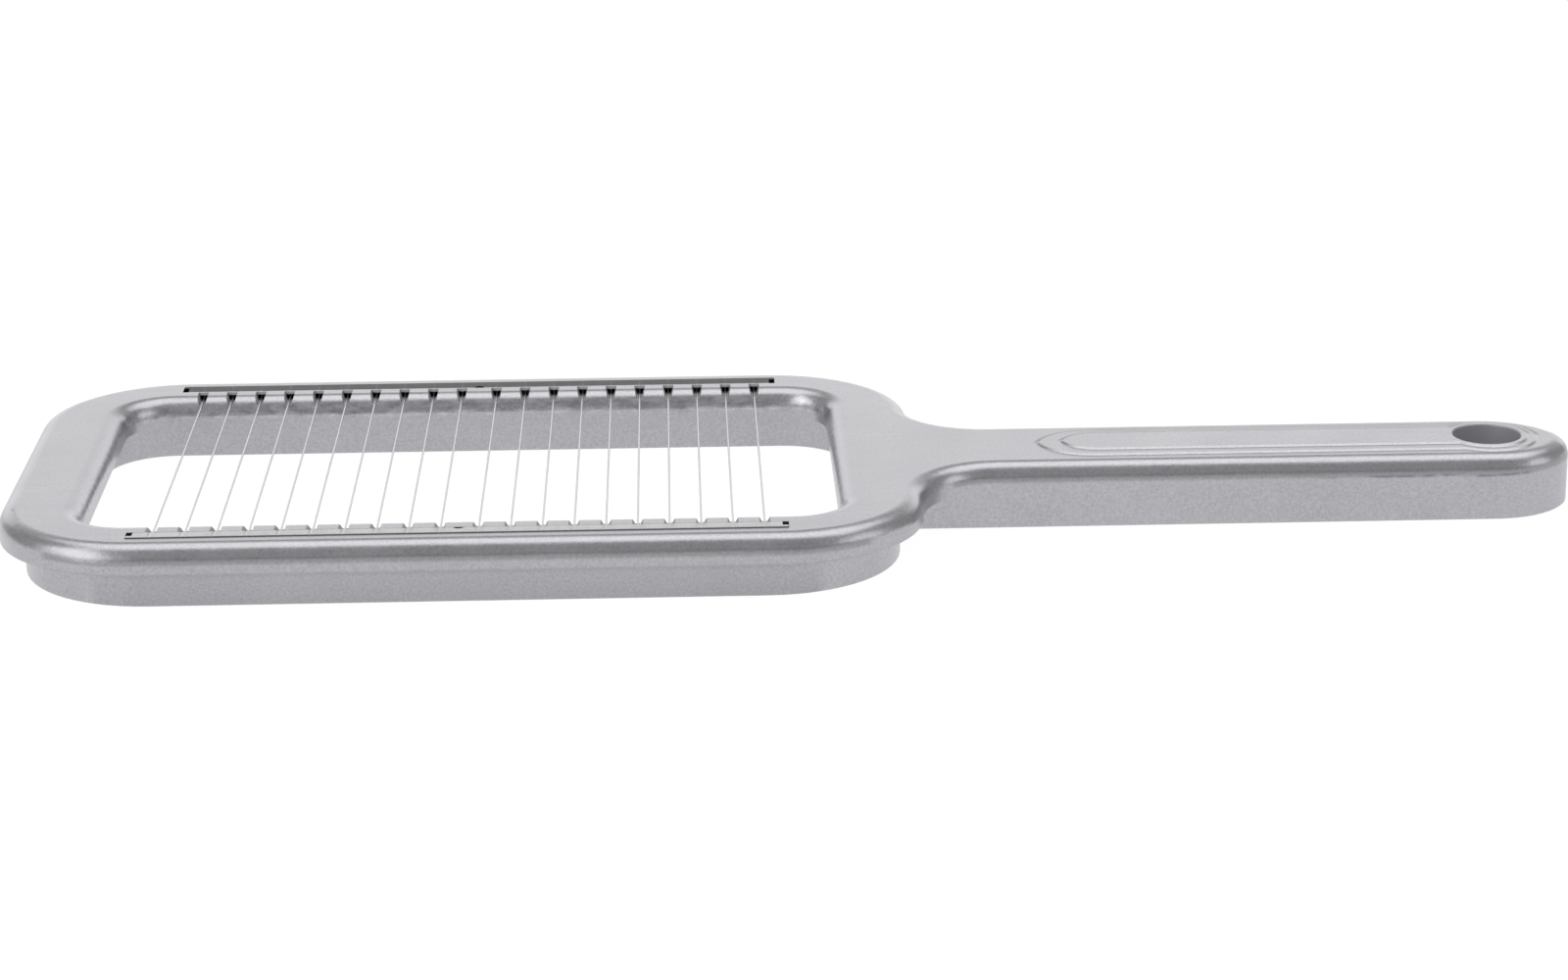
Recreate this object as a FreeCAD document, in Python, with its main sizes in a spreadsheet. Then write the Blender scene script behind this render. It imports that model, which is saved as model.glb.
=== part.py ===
import FreeCAD, Part
import math
import os

import Sketcher
from FreeCAD import Placement, Rotation, Vector

# Hand-held egg slicer: a cast frame with a handle, twenty parallel cutting wires stretched across its window,
# and two clamp strips that cover the wire ends. Millimetres, +Z up, origin at the middle of the underside.

doc = FreeCAD.newDocument("egg_slicer")
sheet = doc.addObject("Spreadsheet::Sheet", "Sheet")

CELLS = [
    # name, value, what it is
    ("total_high", 10.9, "height of the flange top over the underside"),
    ("flange_thick", 4.7, "top flange thickness"),
    ("flange_half_len", 73.9, "flange half length along X"),
    ("flange_half_wid", 46.4, "flange half width along Y"),
    ("flange_corner", 23.6, "flange corner radius"),
    ("edge_round", 2.8, "rounding of the outer top edge"),
    ("lip_half_len", 60.3, "window half length at the lip"),
    ("lip_half_wid", 34.0, "window half width at the lip"),
    ("lip_corner", 8.0, "window corner radius at the lip"),
    ("lip_round", 3.0, "rounding of the lip's top edge"),
    ("web_half_len", 70.2, "web half length, outside"),
    ("web_half_wid", 43.3, "web half width, outside"),
    ("web_corner", 21.7, "web corner radius, outside"),
    ("well_half_len", 63.5, "web half length, inside"),
    ("well_half_wid", 36.4, "web half width, inside"),
    ("well_corner", 10.9, "web corner radius, inside"),
    ("foot_round", 0.5, "rounding of the underside edges"),
    ("handle_half_wid", 11.4, "handle half width"),
    ("handle_end", 183.5, "handle end, from the window centre"),
    ("end_corner", 14.3, "handle end corner radius"),
    ("nose_rad", 8.0, "handle end nose radius"),
    ("neck_rad", 13.0, "fillet between flange and handle"),
    ("neck_low_rad", 3.0, "fillet between web and handle"),
    ("hole_pos", 169.8, "hanging hole centre, from the window centre"),
    ("hole_rad", 5.65, "hanging hole radius"),
    ("hole_round", 0.3, "rounding of the hole's rims"),
    ("panel_start", 94.2, "handle panel tip, lower tier"),
    ("panel_half_wid", 7.0, "handle panel half width, lower tier"),
    ("panel_tip", 9.0, "length of the lower tier's pointed end"),
    ("panel_ring", 8.5, "lower tier radius round the hole"),
    ("panel_high", 0.25, "height of each tier"),
    ("inlay_start", 98.2, "handle panel tip, upper tier"),
    ("inlay_half_wid", 4.6, "handle panel half width, upper tier"),
    ("inlay_tip", 6.0, "length of the upper tier's pointed end"),
    ("inlay_ring", 7.0, "upper tier radius round the hole"),
    ("wire_dia", 0.32, "wire diameter"),
    ("wire_pitch", 5.0, "distance between wires"),
    ("wire_first", 3.0, "first wire, from the window centre"),
    ("wire_low", 1.15, "wire centre below the flange top"),
    ("wire_half_len", 41.7, "wire half length"),
    ("notch_top", 1.8, "notch width at the top"),
    ("notch_low", 0.9, "notch width at its floor"),
    ("notch_deep", 1.35, "notch depth"),
    ("seat_in", 38.94, "clamp strip seat, inner side"),
    ("seat_out", 41.95, "clamp strip seat, outer side"),
    ("seat_half_len", 51.7, "clamp strip seat half length"),
    ("seat_deep", 0.6, "clamp strip seat depth"),
    ("relief_in", 39.15, "seat end pocket, inner side"),
    ("relief_out", 41.0, "seat end pocket, outer side"),
    ("relief_end", 51.7, "seat end pocket, far side"),
    ("relief_deep", 1.3, "seat end pocket depth"),
    ("strip_gap", 0.03, "clearance round a clamp strip"),
    ("strip_half_len", 51.6, "clamp strip half length"),
    ("strip_cut", 50.7, "start of the cut inner corners at the strip ends"),
    ("strip_rise", 0.18, "rise of the strip's outer edge over the flange"),
    ("strip_soft", 0.12, "rounding of the strip's long top edges"),
    ("lug_wide", 0.7, "width of the lugs under the strip"),
    ("lug_in", 39.9, "lugs, inner side"),
    ("lug_out", 41.6, "lugs, outer side"),
    ("lug_low", 0.95, "lugs' lower face below the flange top"),
    ("nick_rad", 0.85, "locating nick at the strip's middle"),
]
for row, (name, value, note) in enumerate(CELLS, 1):
    sheet.set("A%d" % row, name)
    sheet.set("B%d" % row, str(value))
    sheet.set("C%d" % row, note)
    sheet.setAlias("B%d" % row, name)
doc.recompute()


def cell(name):
    return float(sheet.get(name))


def bind(obj, prop, text):
    obj.setExpression(prop, text)


SHIFT = "-(Sheet.handle_end - Sheet.flange_half_len) / 2"
shift = -(cell("handle_end") - cell("flange_half_len")) / 2
top = cell("total_high")


def new_body(label):
    body = doc.addObject("PartDesign::Body", label)
    body.Label = label
    body.Placement = Placement(Vector(shift, 0, 0), Rotation())
    bind(body, "Placement.Base.x", SHIFT)
    return body


def plane(body, role):
    return [o for o in body.Origin.OriginFeatures if o.Role == role][0]


def new_sketch(body, name, role="XY_Plane", rise=None):
    sk = body.newObject("Sketcher::SketchObject", name)
    sk.AttachmentSupport = [(plane(body, role), "")]
    sk.MapMode = "FlatFace"
    if rise:
        bind(sk, "AttachmentOffset.Base.z", rise)
    doc.recompute()
    return sk


def size(sk, kind, args, value, text):
    """One dimension of a sketch, bound to the sheet."""
    n = sk.addConstraint(Sketcher.Constraint(kind, *args, value))
    sk.setExpression("Constraints[%d]" % n, text)
    return n


def line(sk, a, b):
    return sk.addGeometry(Part.LineSegment(Vector(*a, 0), Vector(*b, 0)), False)


def arc(sk, centre, rad, a0, a1):
    circle = Part.Circle(Vector(*centre, 0), Vector(0, 0, 1), rad)
    return sk.addGeometry(Part.ArcOfCircle(circle, math.radians(a0), math.radians(a1)), False)


def rounded_rect(sk, half_x, half_y, rad):
    """A rounded rectangle round the sketch's origin, its three sizes bound to cells."""
    hx, hy, r = cell(half_x), cell(half_y), cell(rad)
    px, py = hx - r, hy - r
    g = [
        line(sk, (-px, -hy), (px, -hy)),
        arc(sk, (px, -py), r, 270, 360),
        line(sk, (hx, -py), (hx, py)),
        arc(sk, (px, py), r, 0, 90),
        line(sk, (px, hy), (-px, hy)),
        arc(sk, (-px, py), r, 90, 180),
        line(sk, (-hx, py), (-hx, -py)),
        arc(sk, (-px, -py), r, 180, 270),
    ]
    for i in range(8):
        sk.addConstraint(Sketcher.Constraint("Tangent", g[i], 2, g[(i + 1) % 8], 1))
    for i in (0, 4):
        sk.addConstraint(Sketcher.Constraint("Horizontal", g[i]))
    for i in (2, 6):
        sk.addConstraint(Sketcher.Constraint("Vertical", g[i]))
    for i in (3, 5, 7):
        sk.addConstraint(Sketcher.Constraint("Equal", g[1], g[i]))
    sk.addConstraint(Sketcher.Constraint("Symmetric", g[1], 3, g[5], 3, -1, 1))
    size(sk, "Radius", (g[1],), r, "Sheet.%s" % rad)
    size(sk, "DistanceX", (-1, 1, g[1], 3), px, "Sheet.%s - Sheet.%s" % (half_x, rad))
    size(sk, "DistanceY", (-1, 1, g[3], 3), py, "Sheet.%s - Sheet.%s" % (half_y, rad))
    return g


def paddle(sk, half_x, half_y, rad, neck):
    """Outline of the frame and its handle: rounded rectangle, concave necks, straight handle, round end."""
    hx, hy, r, rn = cell(half_x), cell(half_y), cell(rad), cell(neck)
    hw, re, rc, xe = cell("handle_half_wid"), cell("nose_rad"), cell("end_corner"), cell("handle_end")
    px, py = hx - r, hy - r
    side = hw + rn < py  # the neck meets the straight side, not the corner
    if side:
        xf = hx + rn
        a1 = 360.0
    else:
        xf = px + math.sqrt((r + rn) ** 2 - (hw + rn - py) ** 2)
        a1 = 360.0 - math.degrees(math.atan2(hw + rn - py, xf - px))
    yf = hw + rn
    cx = (xe - re) - math.sqrt((rc - re) ** 2 - (rc - hw) ** 2)
    an = math.degrees(math.atan2(rc - hw, xe - re - cx))
    g, e = [], []

    def put(i, enter, leave):
        g.append(i)
        e.append((enter, leave))

    put(line(sk, (-px, -hy), (px, -hy)), 1, 2)
    put(arc(sk, (px, -py), r, 270, a1), 1, 2)
    if side:
        put(line(sk, (hx, -py), (hx, -yf)), 1, 2)
    put(arc(sk, (xf, -yf), rn, 90, a1 - 180), 2, 1)
    put(line(sk, (xf, -hw), (cx, -hw)), 1, 2)
    put(arc(sk, (cx, rc - hw), rc, 270, 360 - an), 1, 2)
    put(arc(sk, (xe - re, 0), re, -an, an), 1, 2)
    put(arc(sk, (cx, hw - rc), rc, an, 90), 1, 2)
    put(line(sk, (cx, hw), (xf, hw)), 1, 2)
    put(arc(sk, (xf, yf), rn, 540 - a1, 270), 2, 1)
    if side:
        put(line(sk, (hx, yf), (hx, py)), 1, 2)
    put(arc(sk, (px, py), r, 360 - a1, 90), 1, 2)
    put(line(sk, (px, hy), (-px, hy)), 1, 2)
    put(arc(sk, (-px, py), r, 90, 180), 1, 2)
    put(line(sk, (-hx, py), (-hx, -py)), 1, 2)
    put(arc(sk, (-px, -py), r, 180, 270), 1, 2)
    n = len(g)
    for i in range(n):
        j = (i + 1) % n
        sk.addConstraint(Sketcher.Constraint("Tangent", g[i], e[i][1], g[j], e[j][0]))
    k = 1 if side else 0
    low, corner, neck1, grip1, end1, nose, end2, grip2, neck2 = (
        g[0], g[1], g[2 + k], g[3 + k], g[4 + k], g[5 + k], g[6 + k], g[7 + k], g[8 + k]
    )
    corner2, high, corner3, left, corner4 = g[9 + 2 * k], g[10 + 2 * k], g[11 + 2 * k], g[12 + 2 * k], g[13 + 2 * k]
    for i in (low, high, grip1, grip2):
        sk.addConstraint(Sketcher.Constraint("Horizontal", i))
    sk.addConstraint(Sketcher.Constraint("Vertical", left))
    if side:
        sk.addConstraint(Sketcher.Constraint("Vertical", g[2]))
        sk.addConstraint(Sketcher.Constraint("Vertical", g[10]))
    for i in (corner2, corner3, corner4):
        sk.addConstraint(Sketcher.Constraint("Equal", corner, i))
    sk.addConstraint(Sketcher.Constraint("Equal", neck1, neck2))
    sk.addConstraint(Sketcher.Constraint("Equal", end1, end2))
    sk.addConstraint(Sketcher.Constraint("PointOnObject", nose, 3, -1))
    sk.addConstraint(Sketcher.Constraint("Symmetric", corner, 3, corner3, 3, -1, 1))
    size(sk, "Radius", (corner,), r, "Sheet.%s" % rad)
    size(sk, "Radius", (neck1,), rn, "Sheet.%s" % neck)
    size(sk, "Radius", (end1,), rc, "Sheet.end_corner")
    size(sk, "Radius", (nose,), re, "Sheet.nose_rad")
    size(sk, "DistanceX", (-1, 1, corner, 3), px, "Sheet.%s - Sheet.%s" % (half_x, rad))
    size(sk, "DistanceY", (-1, 1, corner2, 3), py, "Sheet.%s - Sheet.%s" % (half_y, rad))
    size(sk, "DistanceX", (-1, 1, corner2, 3), px, "Sheet.%s - Sheet.%s" % (half_x, rad))
    size(sk, "DistanceX", (-1, 1, nose, 3), xe - re, "Sheet.handle_end - Sheet.nose_rad")
    size(sk, "DistanceY", (-1, 1, grip2, 1), hw, "Sheet.handle_half_wid")
    size(sk, "DistanceY", (grip1, 1, -1, 1), hw, "Sheet.handle_half_wid")


def leaf(sk, start, half, tip, ring):
    """Outline of one step of the handle panel: pointed round tip, straight sides, ring round the hole."""
    xs, hw, lt, rr, xh = cell(start), cell(half), cell(tip), cell(ring), cell("hole_pos")
    # the tip is two arcs that leave the straight sides tangentially and meet on the middle line
    rt = (lt**2 + hw**2) / (2 * hw)
    ang = math.degrees(math.asin(lt / rt))
    xa = xs + lt
    xr = xh - math.sqrt(rr**2 - hw**2)
    ar = 180 - math.degrees(math.atan2(hw, xh - xr))
    g = [
        line(sk, (xa, -hw), (xr, -hw)),
        arc(sk, (xh, 0), rr, -ar, ar),
        line(sk, (xr, hw), (xa, hw)),
        arc(sk, (xa, hw - rt), rt, 90, 90 + ang),
        arc(sk, (xa, rt - hw), rt, 270 - ang, 270),
    ]
    con = sk.addConstraint
    con(Sketcher.Constraint("Coincident", g[0], 2, g[1], 1))
    con(Sketcher.Constraint("Coincident", g[1], 2, g[2], 1))
    con(Sketcher.Constraint("Tangent", g[2], 2, g[3], 1))
    con(Sketcher.Constraint("Coincident", g[3], 2, g[4], 1))
    con(Sketcher.Constraint("Tangent", g[4], 2, g[0], 1))
    con(Sketcher.Constraint("Horizontal", g[0]))
    con(Sketcher.Constraint("Horizontal", g[2]))
    con(Sketcher.Constraint("PointOnObject", g[1], 3, -1))
    con(Sketcher.Constraint("PointOnObject", g[3], 2, -1))
    size(sk, "Radius", (g[1],), rr, "Sheet.%s" % ring)
    size(sk, "DistanceX", (-1, 1, g[1], 3), xh, "Sheet.hole_pos")
    size(sk, "DistanceX", (-1, 1, g[3], 2), xs, "Sheet.%s" % start)
    size(sk, "DistanceX", (-1, 1, g[2], 2), xa, "Sheet.%s + Sheet.%s" % (start, tip))
    size(sk, "DistanceX", (-1, 1, g[0], 1), xa, "Sheet.%s + Sheet.%s" % (start, tip))
    size(sk, "DistanceY", (-1, 1, g[2], 2), hw, "Sheet.%s" % half)
    size(sk, "DistanceY", (g[0], 1, -1, 1), hw, "Sheet.%s" % half)


def polygon(sk, pts):
    """A closed polygon; pts holds (x, y, x expression, y expression)."""
    n = len(pts)
    g = [line(sk, pts[i][:2], pts[(i + 1) % n][:2]) for i in range(n)]
    for i in range(n):
        sk.addConstraint(Sketcher.Constraint("Coincident", g[i], 2, g[(i + 1) % n], 1))
    for i, (x, y, ex, ey) in enumerate(pts):
        for kind, v, text in (("DistanceX", x, ex), ("DistanceY", y, ey)):
            if abs(v) < 1e-9:
                # a point on an axis
                sk.addConstraint(Sketcher.Constraint("PointOnObject", g[i], 1, -2 if kind == "DistanceX" else -1))
            elif v > 0:
                size(sk, kind, (-1, 1, g[i], 1), v, text)
            else:
                size(sk, kind, (g[i], 1, -1, 1), -v, "-(%s)" % text)
    return g


def pad(body, sk, name, length):
    f = body.newObject("PartDesign::Pad", name)
    f.Profile = sk
    bind(f, "Length", length)
    sk.Visibility = False
    doc.recompute()
    return f


def pocket(body, sk, name, length, reverse=False, both=False):
    """A pocket, with its direction checked by the volume it takes away."""
    before = body.Shape.Volume
    f = body.newObject("PartDesign::Pocket", name)
    f.Profile = sk
    f.Reversed = reverse
    f.Midplane = both
    bind(f, "Length", length)
    sk.Visibility = False
    doc.recompute()
    gone = before - f.Shape.Volume
    print("%-16s takes %.2f mm3" % (name, gone))
    if gone < 1e-3:
        raise RuntimeError("%s cuts nothing" % name)
    return f


def fillet(body, base, name, edges, radius):
    f = body.newObject("PartDesign::Fillet", name)
    f.Base = (base, edges)
    bind(f, "Radius", radius)
    doc.recompute()
    print("%-16s %d edges, volume %.2f, valid %s" % (name, len(edges), f.Shape.Volume, f.Shape.isValid()))
    return f


def edges_where(shape, test):
    """Names of the edges whose every sampled point passes a test (x, y, z in the body's own axes)."""
    names = []
    for i, edge in enumerate(shape.Edges, 1):
        a, b = edge.ParameterRange
        pts = [edge.valueAt(a + (b - a) * k / 4.0) for k in range(5)]
        if all(test(p.x, p.y, p.z) for p in pts):
            names.append("Edge%d" % i)
    return names


def near(a, b, tol=1e-3):
    return abs(a - b) < tol


# ---------------------------------------------------------------- frame casting
frame = new_body("frame")
s = new_sketch(frame, "WebOutline")
paddle(s, "web_half_len", "web_half_wid", "web_corner", "neck_low_rad")
pad(frame, s, "WebPad", "Sheet.total_high - Sheet.flange_thick")
s = new_sketch(frame, "FlangeOutline", rise="Sheet.total_high - Sheet.flange_thick")
paddle(s, "flange_half_len", "flange_half_wid", "flange_corner", "neck_rad")
pad(frame, s, "FlangePad", "Sheet.flange_thick")

s = new_sketch(frame, "LipOutline", rise="Sheet.total_high")
rounded_rect(s, "lip_half_len", "lip_half_wid", "lip_corner")
pocket(frame, s, "WindowCut", "Sheet.total_high + 1")
s = new_sketch(frame, "WellOutline", rise="Sheet.total_high - Sheet.flange_thick")
rounded_rect(s, "well_half_len", "well_half_wid", "well_corner")
well = pocket(frame, s, "WellCut", "Sheet.total_high")

# rounded top edges: the outside of flange and handle, then the lip of the window
body_top = cell("total_high")
lip_x, lip_y = cell("lip_half_len"), cell("lip_half_wid")


def outside(x, y):
    return abs(x) > lip_x + 0.5 or abs(y) > lip_y + 0.5


f = fillet(frame, well, "OuterRound",
           edges_where(well.Shape, lambda x, y, z: near(z, body_top) and outside(x, y)), "Sheet.edge_round")
f = fillet(frame, f, "LipRound",
           edges_where(f.Shape, lambda x, y, z: near(z, body_top) and abs(x) < lip_x + 0.01 and abs(y) < lip_y + 0.01),
           "Sheet.lip_round")
f = fillet(frame, f, "FootRound", edges_where(f.Shape, lambda x, y, z: near(z, 0)), "Sheet.foot_round")

# raised panel of two tiers on the handle, with sloping sides
for tier, keys in (("Panel", ("panel_start", "panel_half_wid", "panel_tip", "panel_ring")),
                   ("Inlay", ("inlay_start", "inlay_half_wid", "inlay_tip", "inlay_ring"))):
    s = new_sketch(frame, tier + "Outline", rise="Sheet.total_high" if tier == "Panel" else "Sheet.total_high + Sheet.panel_high")
    leaf(s, *keys)
    f = frame.newObject("PartDesign::Pad", tier + "Tier")
    f.Profile = s
    bind(f, "Length", "Sheet.panel_high")
    f.TaperAngle = -60
    s.Visibility = False
    before = f.BaseFeature.Shape.Volume
    doc.recompute()
    print("%sTier adds %.2f mm3, valid %s" % (tier, f.Shape.Volume - before, f.Shape.isValid()))

# hanging hole
s = new_sketch(frame, "HoleCircle", rise="Sheet.total_high + 1")
c = s.addGeometry(Part.Circle(Vector(cell("hole_pos"), 0, 0), Vector(0, 0, 1), cell("hole_rad")), False)
s.addConstraint(Sketcher.Constraint("PointOnObject", c, 3, -1))
size(s, "Radius", (c,), cell("hole_rad"), "Sheet.hole_rad")
size(s, "DistanceX", (-1, 1, c, 3), cell("hole_pos"), "Sheet.hole_pos")
f = pocket(frame, s, "HangingHole", "Sheet.total_high + 2")
hx, hr = cell("hole_pos"), cell("hole_rad")
f = fillet(frame, f, "HoleRims",
           edges_where(f.Shape, lambda x, y, z: near(math.hypot(x - hx, y), hr) and (z > body_top / 2 or near(z, 0))
                       and (near(z, 0) or near(z, body_top + 2 * cell("panel_high")))),
           "Sheet.hole_round")

# seats for the clamp strips, with their end pockets
s = new_sketch(frame, "SeatOutline", rise="Sheet.total_high")
for sign in (1, -1):
    y0, y1, xs = sign * cell("seat_in"), sign * cell("seat_out"), cell("seat_half_len")
    t0, t1 = ("Sheet.seat_in", "Sheet.seat_out") if sign > 0 else ("-Sheet.seat_in", "-Sheet.seat_out")
    polygon(s, [(-xs, y0, "-Sheet.seat_half_len", t0), (xs, y0, "Sheet.seat_half_len", t0),
                (xs, y1, "Sheet.seat_half_len", t1), (-xs, y1, "-Sheet.seat_half_len", t1)])
pocket(frame, s, "StripSeats", "Sheet.seat_deep")
s = new_sketch(frame, "ReliefOutline", rise="Sheet.total_high")
for sx in (1, -1):
    for sy in (1, -1):
        x0, x1 = sx * (cell("seat_half_len") - 1), sx * cell("relief_end")
        y0, y1 = sy * cell("relief_in"), sy * cell("relief_out")
        px = "" if sx > 0 else "-"
        py = "" if sy > 0 else "-"
        a, b = px + "(Sheet.seat_half_len - 1)", px + "Sheet.relief_end"
        c0, c1 = py + "Sheet.relief_in", py + "Sheet.relief_out"
        polygon(s, [(x0, y0, a, c0), (x1, y0, b, c0), (x1, y1, b, c1), (x0, y1, a, c1)])
pocket(frame, s, "SeatEnds", "Sheet.relief_deep")

# notches in the lip, carried on under the strips: one on each side of the middle, then a row of them
for side, sign in (("Right", 1), ("Left", -1)):
    s = new_sketch(frame, "Notch" + side, role="XZ_Plane")
    xm = sign * cell("wire_first")
    wt, wl = cell("notch_top") / 2, cell("notch_low") / 2
    grow = 0.2
    wu = wt + (wt - wl) * grow / cell("notch_deep")
    mid = "Sheet.wire_first" if sign > 0 else "-Sheet.wire_first"
    up = "Sheet.total_high + 0.2"
    dn = "Sheet.total_high - Sheet.notch_deep"
    wide = "(Sheet.notch_top / 2 + (Sheet.notch_top - Sheet.notch_low) / 2 * 0.2 / Sheet.notch_deep)"
    polygon(s, [(xm - wu, top + grow, "%s - %s" % (mid, wide), up), (xm - wl, top - cell("notch_deep"), "%s - Sheet.notch_low / 2" % mid, dn),
                (xm + wl, top - cell("notch_deep"), "%s + Sheet.notch_low / 2" % mid, dn), (xm + wu, top + grow, "%s + %s" % (mid, wide), up)])
    first = pocket(frame, s, "NotchCut" + side, "Sheet.seat_out * 2", both=True)
    before = frame.Shape.Volume
    row = frame.newObject("PartDesign::LinearPattern", "NotchRow" + side)
    row.Originals = [first]
    row.Direction = (plane(frame, "X_Axis"), [""])
    row.Reversed = sign < 0
    row.Occurrences = 10
    bind(row, "Length", "Sheet.wire_pitch * 9")
    frame.Tip = row
    doc.recompute()
    print("NotchRow%s takes %.2f mm3" % (side, before - row.Shape.Volume))

# the notch cut above the strip seats opened only the lip: check that the rails still stand
print("frame volume %.1f solids %d" % (frame.Shape.Volume, len(frame.Shape.Solids)))

# ---------------------------------------------------------------- clamp strips
strips = []
for label, sign in (("strip_front", -1), ("strip_back", 1)):
    body = new_body(label)
    s = new_sketch(body, label + "_section", role="YZ_Plane")
    gap = cell("strip_gap")
    y0, y1 = cell("seat_in") + gap, cell("seat_out") - gap
    zb, rise = top - cell("seat_deep") + gap, cell("strip_rise")
    slope = rise / (y1 - y0)
    ty0, ty1 = "(Sheet.seat_in + Sheet.strip_gap)", "(Sheet.seat_out - Sheet.strip_gap)"
    tslope = "(Sheet.strip_rise / (Sheet.seat_out - Sheet.seat_in - 2 * Sheet.strip_gap))"

    def surf(y):
        return top + slope * (y - y0)

    def tsurf(t):
        return "(Sheet.total_high + %s * (%s - %s))" % (tslope, t, ty0)

    pts = [
        (y0, zb, ty0, "Sheet.total_high - Sheet.seat_deep + Sheet.strip_gap"),
        (y1, zb, ty1, "Sheet.total_high - Sheet.seat_deep + Sheet.strip_gap"),
        (y1, surf(y1), ty1, tsurf(ty1)),
        (y0, top, ty0, "Sheet.total_high"),
    ]
    polygon(s, [(sign * y, z, ty if sign > 0 else "-" + ty, tz) for (y, z, ty, tz) in pts])
    f = body.newObject("PartDesign::Pad", label + "_pad")
    f.Profile = s
    f.Midplane = True
    bind(f, "Length", "Sheet.strip_half_len * 2")
    doc.recompute()
    # softened long edges on top
    f = fillet(body, f, label + "_soft",
               edges_where(f.Shape, lambda x, y, z: (near(abs(y), y1) and near(z, surf(y1))) or (near(abs(y), y0) and near(z, top))),
               "Sheet.strip_soft")
    # lugs underneath, one in every notch, that hold the wires down
    for side, sx in (("r", 1), ("l", -1)):
        s = new_sketch(body, label + "_lug_" + side, role="YZ_Plane", rise=None)
        bind(s, "AttachmentOffset.Base.z", ("Sheet.wire_first" if sx > 0 else "-Sheet.wire_first"))
        doc.recompute()
        zl, zh = top - cell("lug_low"), top - cell("seat_deep") + 0.3
        tl, th = "Sheet.total_high - Sheet.lug_low", "Sheet.total_high - Sheet.seat_deep + 0.3"
        pts = [
            (cell("lug_in"), zl, "Sheet.lug_in", tl),
            (cell("lug_out"), zl, "Sheet.lug_out", tl),
            (cell("lug_out"), zh, "Sheet.lug_out", th),
            (cell("lug_in"), zh, "Sheet.lug_in", th),
        ]
        polygon(s, [(sign * y, z, ty if sign > 0 else "-" + ty, tz) for (y, z, ty, tz) in pts])
        first = body.newObject("PartDesign::Pad", label + "_lug_pad_" + side)
        first.Profile = s
        first.Midplane = True
        bind(first, "Length", "Sheet.lug_wide")
        s.Visibility = False
        doc.recompute()
        row = body.newObject("PartDesign::LinearPattern", label + "_lugs_" + side)
        row.Originals = [first]
        row.Direction = (plane(body, "X_Axis"), [""])
        row.Reversed = sx < 0
        row.Occurrences = 10
        bind(row, "Length", "Sheet.wire_pitch * 9")
        body.Tip = row
        doc.recompute()
    # inner corners cut away at both ends, over the seat's end pockets
    s = new_sketch(body, label + "_corners", rise="Sheet.total_high + 1")
    for sx in (1, -1):
        x0, x1 = sx * cell("strip_cut"), sx * (cell("strip_half_len") + 0.5)
        ya, yb = sign * (cell("seat_in") - 0.5), sign * cell("relief_out")
        px = "" if sx > 0 else "-"
        py = "" if sign > 0 else "-"
        a, b = px + "Sheet.strip_cut", px + "(Sheet.strip_half_len + 0.5)"
        c0, c1 = py + "(Sheet.seat_in - 0.5)", py + "Sheet.relief_out"
        polygon(s, [(x0, ya, a, c0), (x1, ya, b, c0), (x1, yb, b, c1), (x0, yb, a, c1)])
    pocket(body, s, label + "_corner_cut", "2.5")
    # locating nick at the middle of the inner edge
    s = new_sketch(body, label + "_nick", rise="Sheet.total_high + 1")
    c = s.addGeometry(Part.Circle(Vector(0, sign * y0, 0), Vector(0, 0, 1), cell("nick_rad")), False)
    s.addConstraint(Sketcher.Constraint("PointOnObject", c, 3, -2))
    size(s, "Radius", (c,), cell("nick_rad"), "Sheet.nick_rad")
    if sign > 0:
        size(s, "DistanceY", (-1, 1, c, 3), y0, ty0)
    else:
        size(s, "DistanceY", (c, 3, -1, 1), y0, ty0)
    pocket(body, s, label + "_nick_cut", "2.5")
    print("%s volume %.3f solids %d" % (label, body.Shape.Volume, len(body.Shape.Solids)))
    strips.append(body)

# ---------------------------------------------------------------- cutting wires
# Each wire runs straight from notch to notch; its ends lie under the strips, below their lugs.
wires = []
r_w, z_w = cell("wire_dia") / 2, top - cell("wire_low")
for i in range(20):
    label = "wire_%02d" % (i + 1)
    k = i - 10 if i >= 10 else 9 - i
    where = "(Sheet.wire_first + Sheet.wire_pitch * %d)" % k
    x_w = cell("wire_first") + cell("wire_pitch") * k
    if i < 10:
        where, x_w = "-" + where, -x_w
    body = new_body(label)
    body.Placement = Placement(Vector(shift + x_w, 0, 0), Rotation())
    bind(body, "Placement.Base.x", "%s + %s" % (SHIFT, where))
    ring = new_sketch(body, label + "_section", role="XZ_Plane")
    c = ring.addGeometry(Part.Circle(Vector(0, z_w, 0), Vector(0, 0, 1), r_w), False)
    ring.addConstraint(Sketcher.Constraint("PointOnObject", c, 3, -2))
    size(ring, "Radius", (c,), r_w, "Sheet.wire_dia / 2")
    size(ring, "DistanceY", (-1, 1, c, 3), z_w, "Sheet.total_high - Sheet.wire_low")
    rod = body.newObject("PartDesign::Pad", label + "_rod")
    rod.Profile = ring
    rod.Midplane = True
    bind(rod, "Length", "Sheet.wire_half_len * 2")
    ring.Visibility = False
    doc.recompute()
    wires.append(body)

print("wire volume %.3f, section times length %.3f" % (wires[0].Shape.Volume, math.pi * r_w**2 * 2 * cell("wire_half_len")))

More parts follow.
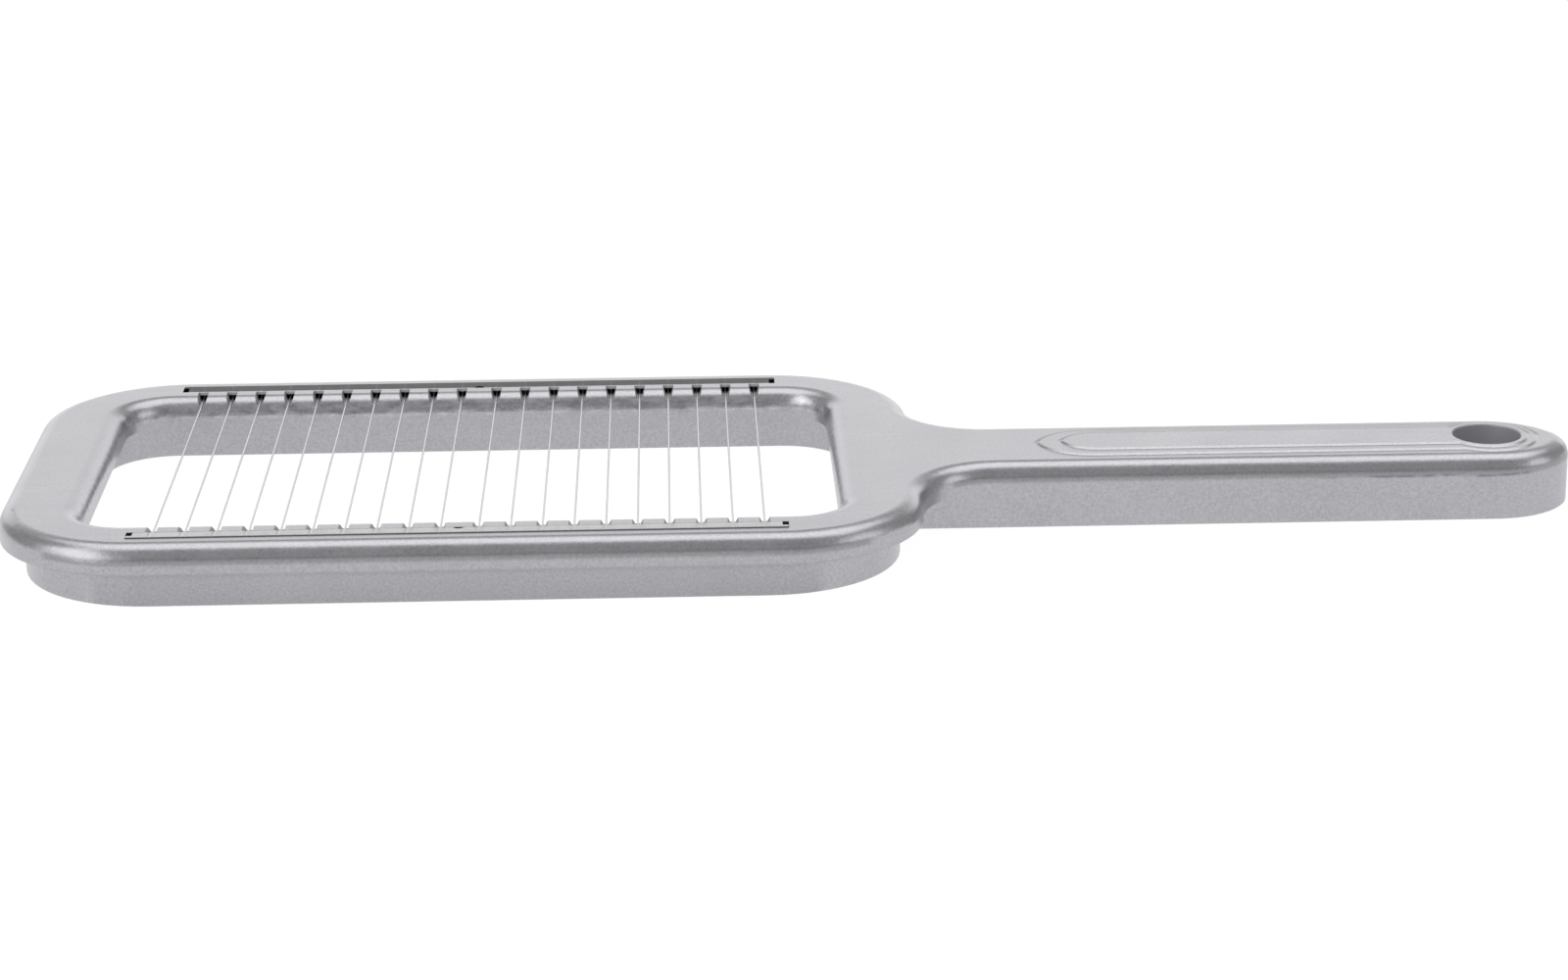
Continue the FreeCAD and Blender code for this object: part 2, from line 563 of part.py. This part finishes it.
# ---------------------------------------------------------------- checks and export
doc.recompute()
bad = [o.Name for o in doc.Objects if "Invalid" in o.State or "Error" in o.State]
if bad:
    raise RuntimeError("failed objects: %s" % bad)
nodes = [frame] + strips + wires
for o in nodes:
    if o.Shape.isNull() or not o.Shape.isValid() or len(o.Shape.Solids) != 1:
        raise RuntimeError("bad shape: %s" % o.Label)
os.makedirs("parts", exist_ok=True)
for o in nodes:
    o.Shape.exportStep("parts/%s.step" % o.Label)
box = FreeCAD.BoundBox()
for o in nodes:
    box.add(o.Shape.BoundBox)
print("nodes %d" % len(nodes))
print("box x %.2f..%.2f y %.2f..%.2f z %.2f..%.2f" % (box.XMin, box.XMax, box.YMin, box.YMax, box.ZMin, box.ZMax))
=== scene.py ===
import math

import bpy
from mathutils import Matrix, Vector


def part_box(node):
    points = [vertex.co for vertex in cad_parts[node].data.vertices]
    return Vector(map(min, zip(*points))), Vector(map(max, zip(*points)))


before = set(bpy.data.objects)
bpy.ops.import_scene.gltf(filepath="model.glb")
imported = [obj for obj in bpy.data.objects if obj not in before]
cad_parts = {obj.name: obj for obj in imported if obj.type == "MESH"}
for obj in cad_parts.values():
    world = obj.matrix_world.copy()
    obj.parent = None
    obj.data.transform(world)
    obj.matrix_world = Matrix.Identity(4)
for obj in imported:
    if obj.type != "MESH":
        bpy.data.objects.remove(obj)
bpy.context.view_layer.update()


scene = bpy.context.scene
scene.view_settings.view_transform = "Standard"
scene.view_settings.look = "None"
scene.view_settings.exposure = 0.0
scene.view_settings.gamma = 1.0

# ------------------------------------------------------------------ places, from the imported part
lo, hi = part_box("frame")
WIRES = sorted(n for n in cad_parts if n.startswith("wire_"))
wire_x = []
for n in WIRES:
    a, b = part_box(n)
    wire_x.append((a.x + b.x) / 2)
mid_x = (min(wire_x) + max(wire_x)) / 2      # middle of the window, along the handle's axis
top_z = hi.z - 0.0005                        # the flange's top face; the panel on the handle stands 0.5 mm higher


# ------------------------------------------------------------------ node helpers
class Nodes:
    def __init__(self, mat):
        mat.use_nodes = True
        self.tree = mat.node_tree
        self.tree.nodes.clear()

    def add(self, kind, **props):
        n = self.tree.nodes.new(kind)
        for k, v in props.items():
            setattr(n, k, v)
        return n

    def link(self, a, b):
        self.tree.links.new(a, b)

    def put(self, socket, value):
        if isinstance(value, bpy.types.NodeSocket):
            self.link(value, socket)
        else:
            socket.default_value = value

    def math(self, op, a, b=None, c=None, clamp=False):
        n = self.add("ShaderNodeMath", operation=op, use_clamp=clamp)
        self.put(n.inputs[0], a)
        if b is not None:
            self.put(n.inputs[1], b)
        if c is not None:
            self.put(n.inputs[2], c)
        return n.outputs[0]

    def noise(self, vec, scale, detail=2.0, rough=0.5, lac=2.0):
        n = self.add("ShaderNodeTexNoise")
        self.link(vec, n.inputs["Vector"])
        n.inputs["Scale"].default_value = scale
        n.inputs["Detail"].default_value = detail
        n.inputs["Roughness"].default_value = rough
        n.inputs["Lacunarity"].default_value = lac
        return n.outputs["Fac"]

    def remap(self, v, a, b, c, d, smooth=False):
        n = self.add("ShaderNodeMapRange", clamp=True, interpolation_type="SMOOTHSTEP" if smooth else "LINEAR")
        self.put(n.inputs["Value"], v)
        for name, x in (("From Min", a), ("From Max", b), ("To Min", c), ("To Max", d)):
            n.inputs[name].default_value = x
        return n.outputs["Result"]

    def mix_rgb(self, fac, a, b, blend="MIX"):
        n = self.add("ShaderNodeMix", data_type="RGBA", blend_type=blend)
        self.put(n.inputs["Factor"], fac)
        self.put(n.inputs["A"], a)
        self.put(n.inputs["B"], b)
        return n.outputs["Result"]

    def bump(self, height, strength, distance, normal=None):
        n = self.add("ShaderNodeBump")
        self.link(height, n.inputs["Height"])
        n.inputs["Strength"].default_value = strength
        n.inputs["Distance"].default_value = distance
        if normal is not None:
            self.link(normal, n.inputs["Normal"])
        return n.outputs["Normal"]

    def finish(self, color, metallic, roughness, normal):
        p = self.add("ShaderNodeBsdfPrincipled")
        self.put(p.inputs["Base Color"], color)
        self.put(p.inputs["Metallic"], metallic)
        self.put(p.inputs["Roughness"], roughness)
        if normal is not None:
            self.link(normal, p.inputs["Normal"])
        o = self.add("ShaderNodeOutputMaterial")
        self.link(p.outputs["BSDF"], o.inputs["Surface"])
        return p


def stretched(n, sx, sy, sz):
    """Object coordinates, metres, squeezed or stretched along an axis."""
    tc = n.add("ShaderNodeTexCoord")
    m = n.add("ShaderNodeMapping")
    n.link(tc.outputs["Object"], m.inputs["Vector"])
    m.inputs["Scale"].default_value = (sx, sy, sz)
    return m.outputs["Vector"]


# ------------------------------------------------------------------ die-cast aluminium, satin
def casting():
    mat = bpy.data.materials.new("cast_aluminium_satin")
    n = Nodes(mat)
    tc = n.add("ShaderNodeTexCoord")
    pos = tc.outputs["Object"]
    xyz = n.add("ShaderNodeSeparateXYZ")
    n.link(pos, xyz.inputs[0])
    # fine pitted grain, the slow wave of the cast skin, flow marks drawn out along the part, broad patches
    grain = n.noise(pos, 2400.0, 2.0, 0.6)
    peel = n.noise(pos, 900.0, 2.0, 0.5)
    flow = n.noise(stretched(n, 90.0, 260.0, 420.0), 1.0, 4.0, 0.6)
    patch = n.noise(pos, 90.0, 3.0, 0.55)
    broad = n.noise(pos, 26.0, 2.0, 0.5)
    x_off = n.math("SUBTRACT", xyz.outputs["X"], mid_x)
    ax = n.math("ABSOLUTE", x_off)
    ay = n.math("ABSOLUTE", xyz.outputs["Y"])
    z_off = n.math("SUBTRACT", xyz.outputs["Z"], top_z)
    # painted shade: the dark ends of the wire notches, under the strips, and the empty ends of the seats, painted dark
    # where shade falls
    in_x = n.remap(ax, 0.0514, 0.0519, 1.0, 0.0)
    in_y = n.remap(ay, 0.0386, 0.0391, 0.0, 1.0)
    out_y = n.remap(ay, 0.0434, 0.0436, 1.0, 0.0)
    in_z = n.remap(z_off, -0.00150, -0.00145, 0.0, 1.0)
    off_z = n.remap(z_off, -0.0004, -0.0002, 1.0, 0.0)
    notch_painted_shade = n.math("MULTIPLY", in_x, in_y)
    notch_painted_shade = n.math("MULTIPLY", notch_painted_shade, out_y)
    notch_painted_shade = n.math("MULTIPLY", notch_painted_shade, in_z)
    notch_painted_shade = n.math("MULTIPLY", notch_painted_shade, off_z)
    # open part of the notches: floor and flanks between the lip's face and the strip, painted light: a lighter, less
    # metallic colour where the hollow would read in shade
    qy = n.math("MAXIMUM", n.math("SUBTRACT", 0.037, ay), 0.0)
    qz = n.math("ADD", z_off, 0.003)
    deep = n.math("SQRT", n.math("ADD", n.math("MULTIPLY", qy, qy), n.math("MULTIPLY", qz, qz)))
    open_notch_painted_light = n.remap(deep, 0.00278, 0.00292, 1.0, 0.0)
    open_notch_painted_light = n.math("MULTIPLY", open_notch_painted_light, n.remap(z_off, -0.00150, -0.00140, 0.0, 1.0))
    open_notch_painted_light = n.math("MULTIPLY", open_notch_painted_light, n.remap(ax, 0.0490, 0.0495, 1.0, 0.0))
    open_notch_painted_light = n.math("MULTIPLY", open_notch_painted_light, n.remap(ay, 0.0338, 0.0342, 0.0, 1.0))
    open_notch_painted_light = n.math("MULTIPLY", open_notch_painted_light, n.remap(ay, 0.0377, 0.0383, 1.0, 0.0))
    # hanging hole's wall: rougher as a machined face, and painted light: a grey, less metallic colour that makes the
    # wall read lit
    hx = n.math("SUBTRACT", x_off, 0.1698)
    hy = xyz.outputs["Y"]
    hole_r = n.math("SQRT", n.math("ADD", n.math("MULTIPLY", hx, hx), n.math("MULTIPLY", hy, hy)))
    bore_finish_and_painted_light = n.remap(hole_r, 0.00572, 0.00585, 1.0, 0.0)
    # broken parting line round the handle's outer half, just under the rounded edge
    wander = n.math("MULTIPLY_ADD", patch, 0.0006, -0.0034)
    off_line = n.math("ABSOLUTE", n.math("SUBTRACT", z_off, wander))
    line = n.remap(off_line, 0.00004, 0.00038, 1.0, 0.0, True)
    line = n.math("MULTIPLY", line, n.remap(x_off, 0.134, 0.152, 0.0, 1.0, True))
    line = n.math("MULTIPLY", line, n.remap(n.noise(pos, 420.0, 3.0, 0.6), 0.40, 0.62, 0.15, 0.9, True))
    line = n.math("MULTIPLY", line, n.remap(ay, 0.0100, 0.0108, 0.0, 1.0))
    # painted shade: a thin dark line along the edge of both raised tiers on the far side of the handle, where the
    # step's edge falls into shade
    tier_edge_shade = None
    for xa, yc, rt, ring in ((0.1032, -0.002286, 0.009286, 0.0085), (0.1042, -0.001613, 0.006213, 0.0070)):
        qx = n.math("MINIMUM", n.math("SUBTRACT", x_off, xa), 0.0)
        qy2 = n.math("SUBTRACT", xyz.outputs["Y"], yc)
        d = n.math("SQRT", n.math("ADD", n.math("MULTIPLY", qx, qx), n.math("MULTIPLY", qy2, qy2)))
        d = n.math("SUBTRACT", d, rt)
        beyond_tier_shade = n.remap(d, -0.0001, 0.0003, 0.0, 1.0, True)      # top face beyond the upper tier, painted darker as shade at the tiers' foot
        d_ring = n.math("SUBTRACT", hole_r, ring)
        straight = n.remap(n.math("ABSOLUTE", n.math("SUBTRACT", d, 0.00010)), 0.00022, 0.00070, 1.0, 0.0, True)
        straight = n.math("MULTIPLY", straight, n.remap(x_off, 0.1640, 0.1645, 1.0, 0.0))
        round_end = n.remap(n.math("ABSOLUTE", n.math("SUBTRACT", d_ring, 0.00010)), 0.00022, 0.00070, 1.0, 0.0, True)
        round_end = n.math("MULTIPLY", round_end, n.remap(x_off, 0.1640, 0.1645, 0.0, 1.0))
        one = n.math("ADD", straight, round_end, clamp=True)
        tier_edge_shade = one if tier_edge_shade is None else n.math("MAXIMUM", tier_edge_shade, one)
    tier_edge_shade = n.math("MULTIPLY", tier_edge_shade, n.remap(xyz.outputs["Y"], 0.0002, 0.0012, 0.0, 1.0))
    tier_edge_shade = n.math("MULTIPLY", tier_edge_shade, n.remap(z_off, -0.0008, -0.0006, 0.0, 1.0))
    # painted shade: a darker band low on the rolled-over rim, a dark shadow line under it, and the wall outside
    # painted darker towards the bottom
    on_frame = n.remap(ay, 0.0412, 0.0420, 0.0, 1.0)
    out_side = n.math("MAXIMUM", on_frame, n.remap(x_off, 0.0790, 0.0800, 0.0, 1.0))
    rim_shade_band = n.math("MULTIPLY", n.remap(z_off, -0.0017, -0.0023, 0.0, 1.0, True), n.remap(z_off, -0.0028, -0.0034, 1.0, 0.0, True))
    under_rim_shadow = n.math("MULTIPLY", n.remap(z_off, -0.00435, -0.00465, 0.0, 1.0, True), n.remap(z_off, -0.0057, -0.0066, 1.0, 0.25, True))
    foot_shade = n.remap(z_off, -0.0047, -0.0109, 0.0, 1.0)
    frame_painted_shade = n.math("MULTIPLY", n.math("MULTIPLY", rim_shade_band, 0.26), out_side)
    under_and_foot_shade = n.math("MULTIPLY_ADD", under_rim_shadow, 0.13, n.math("MULTIPLY", foot_shade, 0.12))
    frame_painted_shade = n.math("MULTIPLY_ADD", under_and_foot_shade, on_frame, frame_painted_shade)
    keep = n.math("SUBTRACT", 1.0, frame_painted_shade)
    # painted shade along the tiers' edge
    keep = n.math("MULTIPLY", keep, n.math("MULTIPLY_ADD", tier_edge_shade, -0.42, 1.0))
    # painted shade: the top face beyond the raised tiers on the far side, darkened
    beyond_tier_shade = n.math("MULTIPLY", beyond_tier_shade, n.remap(xyz.outputs["Y"], 0.0030, 0.0060, 0.0, 1.0, True))
    beyond_tier_shade = n.math("MULTIPLY", beyond_tier_shade, n.remap(x_off, 0.0960, 0.1080, 0.0, 1.0, True))
    beyond_tier_shade = n.math("MULTIPLY", beyond_tier_shade, n.remap(x_off, 0.1640, 0.1700, 1.0, 0.0, True))
    beyond_tier_shade = n.math("MULTIPLY", beyond_tier_shade, n.remap(z_off, -0.0010, -0.0006, 0.0, 1.0))
    keep = n.math("MULTIPLY", keep, n.math("MULTIPLY_ADD", beyond_tier_shade, -0.13, 1.0))
    # colour
    tone = n.math("MULTIPLY_ADD", patch, 0.06, 0.252)
    tone = n.math("MULTIPLY_ADD", broad, 0.04, tone)
    tone = n.math("MULTIPLY_ADD", grain, 0.24, tone)
    # painted shade from the rim, the tiers' edge and the face beyond them darkens the colour
    tone = n.math("MULTIPLY", tone, keep)
    # mottled skin on the lip's rounding inside the window, where the die leaves a rougher face
    mottle = n.noise(stretched(n, 330.0, 700.0, 900.0), 1.0, 4.0, 0.65)
    on_lip = n.math("MULTIPLY", n.remap(ay, 0.0372, 0.0364, 0.0, 1.0, True), n.remap(z_off, -0.0006, -0.0014, 0.0, 1.0, True))
    on_lip = n.math("MULTIPLY", on_lip, n.remap(z_off, -0.0040, -0.0026, 0.0, 1.0, True))
    on_lip = n.math("MULTIPLY", on_lip, n.remap(ax, 0.0600, 0.0650, 1.0, 0.0))
    swing = n.math("MULTIPLY", n.remap(mottle, 0.30, 0.70, -0.30, 0.42), on_lip)
    tone = n.math("MULTIPLY", tone, n.math("ADD", swing, 1.0))
    comb = n.add("ShaderNodeCombineColor")
    n.link(n.math("MULTIPLY", tone, 0.990), comb.inputs[0])
    n.link(n.math("MULTIPLY", tone, 0.990), comb.inputs[1])
    n.link(n.math("MULTIPLY", tone, 1.045), comb.inputs[2])
    color = n.mix_rgb(line, comb.outputs[0], (0.20, 0.19, 0.23, 1.0))
    # painted light on the open part of the notches
    color = n.mix_rgb(n.math("MULTIPLY", open_notch_painted_light, 0.9), color, (0.40, 0.40, 0.415, 1.0))
    # partly painted light on the hanging hole's wall
    color = n.mix_rgb(bore_finish_and_painted_light, color, (0.36, 0.36, 0.38, 1.0))
    # painted shade in the notch ends and empty seats
    color = n.mix_rgb(notch_painted_shade, color, (0.16, 0.16, 0.165, 1.0))
    rough = n.math("MULTIPLY_ADD", patch, 0.12, 0.20)
    rough = n.math("MULTIPLY_ADD", grain, 0.08, rough)
    rough = n.math("MULTIPLY_ADD", open_notch_painted_light, 0.25, rough)
    rough = n.math("MULTIPLY_ADD", bore_finish_and_painted_light, 0.20, rough)
    metal = n.math("MULTIPLY_ADD", open_notch_painted_light, -0.50, 1.0)
    metal = n.math("MULTIPLY_ADD", bore_finish_and_painted_light, -0.55, metal)
    normal = n.bump(grain, 0.35, 0.000022)
    normal = n.bump(peel, 0.40, 0.000030, normal)
    normal = n.bump(flow, 0.45, 0.000070, normal)
    n.finish(color, metal, rough, normal)
    return mat


# ------------------------------------------------------------------ rolled steel strip
def strip_steel():
    mat = bpy.data.materials.new("rolled_steel")
    n = Nodes(mat)
    tc = n.add("ShaderNodeTexCoord")
    xyz = n.add("ShaderNodeSeparateXYZ")
    n.link(tc.outputs["Object"], xyz.inputs[0])
    ax = n.math("ABSOLUTE", n.math("SUBTRACT", xyz.outputs["X"], mid_x))
    ay = n.math("ABSOLUTE", xyz.outputs["Y"])
    lines = n.noise(stretched(n, 60.0, 4500.0, 4500.0), 1.0, 3.0, 0.6)
    spots = n.noise(stretched(n, 1.0, 1.0, 1.0), 700.0, 2.0, 0.5)
    # a faint pressed mark across the strip over every wire: the mark is in the bump, its slightly lighter colour a
    # painted highlight
    step = n.math("SUBTRACT", n.math("MODULO", n.math("ADD", ax, 0.0095), 0.005), 0.0025)
    pressed_mark_and_highlight = n.remap(n.math("ABSOLUTE", step), 0.00008, 0.00026, 1.0, 0.0, True)
    pressed_mark_and_highlight = n.math("MULTIPLY", pressed_mark_and_highlight, n.remap(ax, 0.0008, 0.0012, 0.0, 1.0))
    # sheared inner edge, duller than the rolled face
    cut = n.remap(ay, 0.03900, 0.03905, 1.0, 0.0)
    tone = n.math("MULTIPLY_ADD", lines, 0.08, 0.225)
    tone = n.math("MULTIPLY_ADD", spots, 0.05, tone)
    # painted highlight on the pressed marks
    tone = n.math("MULTIPLY_ADD", pressed_mark_and_highlight, 0.05, tone)
    tone = n.math("MULTIPLY_ADD", cut, 0.36, tone)
    comb = n.add("ShaderNodeCombineColor")
    for i, k in enumerate((1.0, 0.995, 1.02)):
        n.link(n.math("MULTIPLY", tone, k), comb.inputs[i])
    rough = n.math("MULTIPLY_ADD", spots, 0.10, 0.09)
    rough = n.math("MULTIPLY_ADD", cut, 0.30, rough)
    metal = n.math("MULTIPLY_ADD", cut, -0.75, 1.0)
    # the rolled face is dished, higher towards its outer edge
    normal = n.bump(ay, 1.0, 0.095)
    normal = n.bump(lines, 0.20, 0.000006, normal)
    normal = n.bump(pressed_mark_and_highlight, 0.60, 0.000030, normal)
    n.finish(comb.outputs[0], metal, rough, normal)
    return mat


# ------------------------------------------------------------------ drawn wire
def wire_steel():
    mat = bpy.data.materials.new("drawn_wire")
    n = Nodes(mat)
    die = n.noise(stretched(n, 9000.0, 120.0, 9000.0), 1.0, 2.0, 0.5)
    worn = n.noise(stretched(n, 1.0, 1.0, 1.0), 260.0, 3.0, 0.6)
    tone = n.math("MULTIPLY_ADD", worn, 0.12, 0.45)
    comb = n.add("ShaderNodeCombineColor")
    for i, k in enumerate((0.995, 0.995, 1.02)):
        n.link(n.math("MULTIPLY", tone, k), comb.inputs[i])
    rough = n.math("MULTIPLY_ADD", die, 0.12, 0.20)
    normal = n.bump(die, 0.25, 0.000004)
    n.finish(comb.outputs[0], 1.0, rough, normal)
    return mat


looks = {"casting": casting(), "strip": strip_steel(), "wire": wire_steel()}


def dress(node, mat):
    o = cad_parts[node]
    if not o.material_slots:
        o.data.materials.append(mat)
    for s in o.material_slots:
        s.material = mat


dress("frame", looks["casting"])
dress("strip_front", looks["strip"])
dress("strip_back", looks["strip"])
for name in WIRES:
    dress(name, looks["wire"])


# ------------------------------------------------------------------ floor
bpy.ops.mesh.primitive_circle_add(vertices=96, radius=6.0, fill_type="NGON", location=(0, 0, -0.00002))
floor = bpy.context.object
floor.name = "floor"
fmat = bpy.data.materials.new("floor_white")
n = Nodes(fmat)
p = n.add("ShaderNodeBsdfPrincipled")
p.inputs["Base Color"].default_value = (0.07, 0.07, 0.07, 1)
p.inputs["Roughness"].default_value = 1.0
p.inputs["Specular IOR Level"].default_value = 0.0
p.inputs["Emission Color"].default_value = (1, 1, 1, 1)
p.inputs["Emission Strength"].default_value = 0.97
o = n.add("ShaderNodeOutputMaterial")
n.link(p.outputs["BSDF"], o.inputs["Surface"])
floor.data.materials.append(fmat)

# ------------------------------------------------------------------ surrounding light: a long soft tent along the tool
world = bpy.data.worlds.new("tent")
scene.world = world
n = Nodes(world)
tc = n.add("ShaderNodeTexCoord")
sep = n.add("ShaderNodeSeparateXYZ")
n.link(tc.outputs["Generated"], sep.inputs[0])
round_x = n.math("MULTIPLY", n.math("ARCTAN2", sep.outputs["Z"], sep.outputs["Y"]), 180 / math.pi)
side = n.math("MULTIPLY", n.math("ARCSINE", sep.outputs["X"]), 180 / math.pi)


def window(v, a, b, soft):
    rise = n.remap(v, a - soft, a + soft, 0.0, 1.0, True)
    fall = n.remap(v, b - soft, b + soft, 1.0, 0.0, True)
    return n.math("MULTIPLY", rise, fall)


DARK = 0.44
PANELS = [
    # radiance, from and to in degrees round the X axis (0 behind the tool, 90 overhead, 180 in front), softness,
    # from and to in degrees towards +X, softness
    (1.36, -90, 26, 4, -37, 40, 6),      # white backdrop
    (1.80, 52, 100, 8, -27, 37, 8),      # overhead panel
    (2.00, 95, 220, 7, -62, -26, 7),     # left panel, in front
    (1.45, 98, 165, 8, 47, 82, 6),       # right panel, in front
    (1.10, 100, 220, 10, -120, -62, 6),  # wall on the left
]
light = DARK
for lum, a0, a1, sa, b0, b1, sb in PANELS:
    w = n.math("MULTIPLY", window(round_x, a0, a1, sa), window(side, b0, b1, sb))
    light = n.math("MULTIPLY_ADD", w, lum - DARK, light)
bg = n.add("ShaderNodeBackground")
bg.inputs["Color"].default_value = (1, 1, 1, 1)
n.link(light, bg.inputs["Strength"])
o = n.add("ShaderNodeOutputWorld")
n.link(bg.outputs[0], o.inputs["Surface"])

# ------------------------------------------------------------------ camera
# measured in millimetres from the middle of the window on the flange's top face
CAM = (34.252, -632.286, 194.905)
PITCH, YAW, ROLL = 17.731, 2.232, -0.292
FOCAL, CENTRE = 4060.67, 841.594


def camera_axes(pitch, yaw, roll):
    cx, sx = math.cos(pitch), math.sin(pitch)
    cz, sz = math.cos(roll), math.sin(roll)
    base = Matrix(((1, 0, 0), (0, 0, -1), (0, 1, 0)))
    rx = Matrix(((1, 0, 0), (0, cx, -sx), (0, sx, cx)))
    rz = Matrix(((cz, -sz, 0), (sz, cz, 0), (0, 0, 1)))
    cy, sy = math.cos(yaw), math.sin(yaw)
    ry = Matrix(((cy, -sy, 0), (sy, cy, 0), (0, 0, 1)))
    return rz @ rx @ base @ ry


R = camera_axes(math.radians(PITCH), math.radians(YAW), math.radians(ROLL))
cam_data = bpy.data.cameras.new("camera")
cam = bpy.data.objects.new("camera", cam_data)
scene.collection.objects.link(cam)
right, down, ahead = R[0], R[1], R[2]
place = Vector((CAM[0] / 1000 + mid_x, CAM[1] / 1000, CAM[2] / 1000 + top_z))
cam.matrix_world = Matrix((
    (right[0], -down[0], -ahead[0], place.x),
    (right[1], -down[1], -ahead[1], place.y),
    (right[2], -down[2], -ahead[2], place.z),
    (0, 0, 0, 1),
))
cam_data.sensor_fit = "HORIZONTAL"
cam_data.sensor_width = 36.0
cam_data.lens = FOCAL / 1600 * 36.0
cam_data.shift_x = (800 - CENTRE) / 1600
cam_data.clip_start = 0.02
cam_data.clip_end = 50.0
scene.camera = cam
